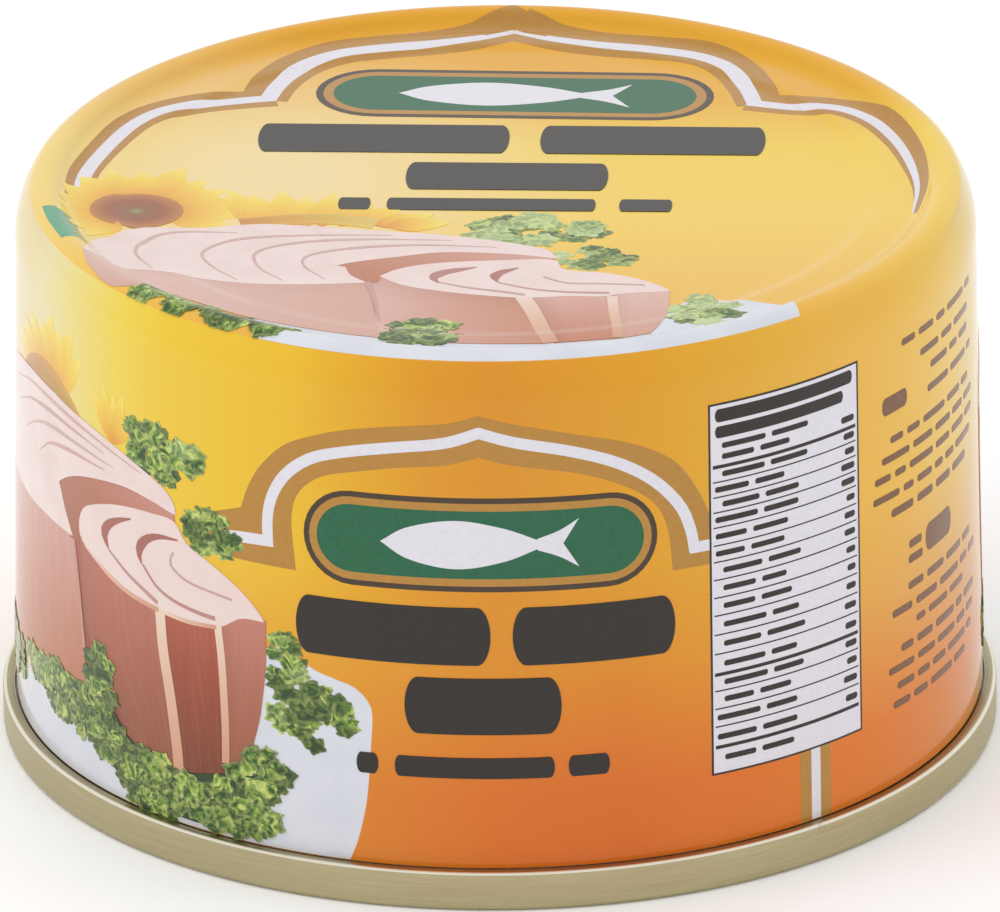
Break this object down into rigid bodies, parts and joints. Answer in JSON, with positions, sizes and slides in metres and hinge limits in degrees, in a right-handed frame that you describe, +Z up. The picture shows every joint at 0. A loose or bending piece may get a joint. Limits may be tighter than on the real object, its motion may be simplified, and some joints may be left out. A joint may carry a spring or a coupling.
{
  "type": "tuna can",
  "caption": "Small round two-piece food can with a printed, drawn body and a lacquered double-seamed end, standing on its seam.",
  "frame": {"origin": "centre of the circle that the seam's foot stands on", "axes": "+Z up along the can's axis, towards the closed printed end; -Y towards the front of the print"},
  "size_m": [0.0682, 0.0682, 0.0397],
  "materials": {
    "printed_tinplate": "gloss lacquer over print",
    "lacquered_tinplate": "satin gold lacquer",
    "white_ink": "opaque white print under gloss lacquer",
    "tan_ink": "print under gloss lacquer",
    "green_ink": "print under gloss lacquer",
    "dark_ink": "print under gloss lacquer",
    "picture_ink": "serving picture in print under gloss lacquer"
  },
  "bodies": {
    "root": {"can_body": "printed_tinplate", "seamed_end": "lacquered_tinplate"}
  },
  "joints": []
}
